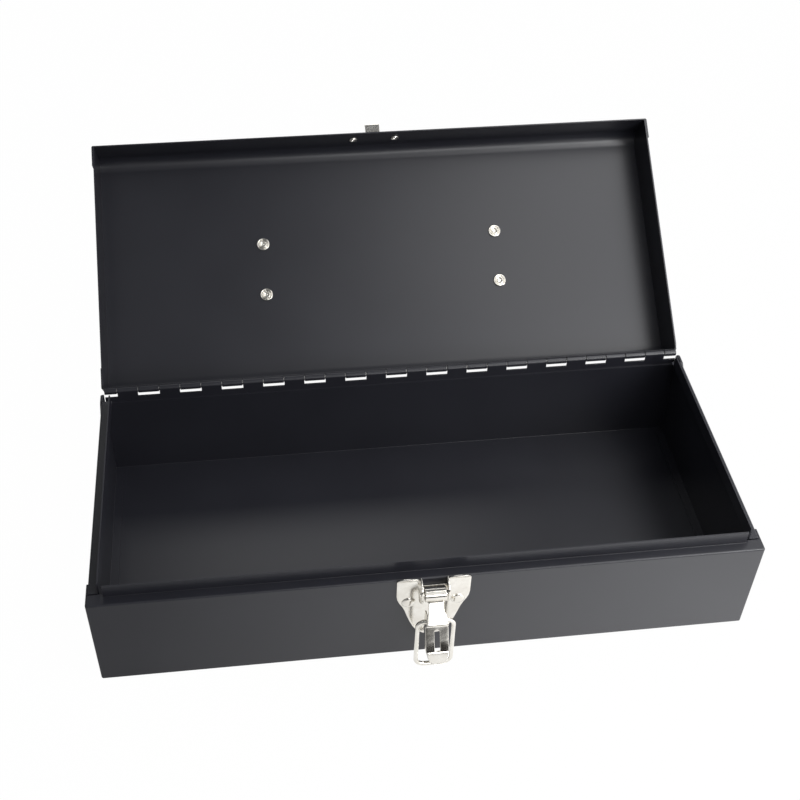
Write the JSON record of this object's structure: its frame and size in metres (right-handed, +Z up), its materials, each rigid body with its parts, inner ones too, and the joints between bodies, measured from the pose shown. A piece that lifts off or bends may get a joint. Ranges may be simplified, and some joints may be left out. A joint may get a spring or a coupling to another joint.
{
  "type": "tool box",
  "caption": "Flat sheet-steel tool box with a hinged lid standing open, an over-centre latch with a wire loop, and a folding carrying handle.",
  "frame": {"origin": "middle of the underside of the case", "axes": "+X along the box to its right end, +Y from the latch side to the hinge side, +Z up"},
  "size_m": [0.3576, 0.3311, 0.1568],
  "materials": {
    "case_paint": "satin",
    "nickel_plate": "gloss",
    "pin_steel": "satin"
  },
  "bodies": {
    "case": {"body_shell": "case_paint", "end_panel_left": "case_paint", "end_panel_right": "case_paint", "hinge_leaf_body": "case_paint", "hinge_pin": "pin_steel", "latch_base": "nickel_plate", "latch_rivets": "nickel_plate", "lever_pin": "nickel_plate"},
    "lid": {"lid_shell": "case_paint", "hinge_leaf_lid": "case_paint", "keeper_hook": "nickel_plate", "keeper_rivets": "nickel_plate", "saddle_left": "case_paint", "saddle_right": "case_paint", "saddle_rivets_left": "nickel_plate", "saddle_rivets_right": "nickel_plate"},
    "lever": {"latch_lever": "nickel_plate"},
    "loop": {"latch_loop": "nickel_plate"},
    "handle": {"handle_bail": "case_paint"}
  },
  "joints": [
    {"name": "lid_hinge", "type": "hinge", "parent": "case", "child": "lid", "pos_m": [0, 0.0793, 0.0649], "axis": [1, 0, 0], "range_deg": [0, 144]},
    {"name": "lever_hinge", "type": "hinge", "parent": "case", "child": "lever", "pos_m": [0, -0.08275, 0.0583], "axis": [1, 0, 0], "range_deg": [0, 27]},
    {"name": "loop_hinge", "type": "hinge", "parent": "lever", "child": "loop", "pos_m": [0, -0.08974, 0.04458], "axis": [-1, 0, 0], "range_deg": [0, 208.4]},
    {"name": "handle_hinge", "type": "hinge", "parent": "lid", "child": "handle", "pos_m": [0, 0.1599, 0.08539], "axis": [1, 0, 0], "range_deg": [-54, 126]}
  ],
  "couplings": [
    {"joint": "loop_hinge", "follows": "lever_hinge", "ratio": 7.716}
  ]
}
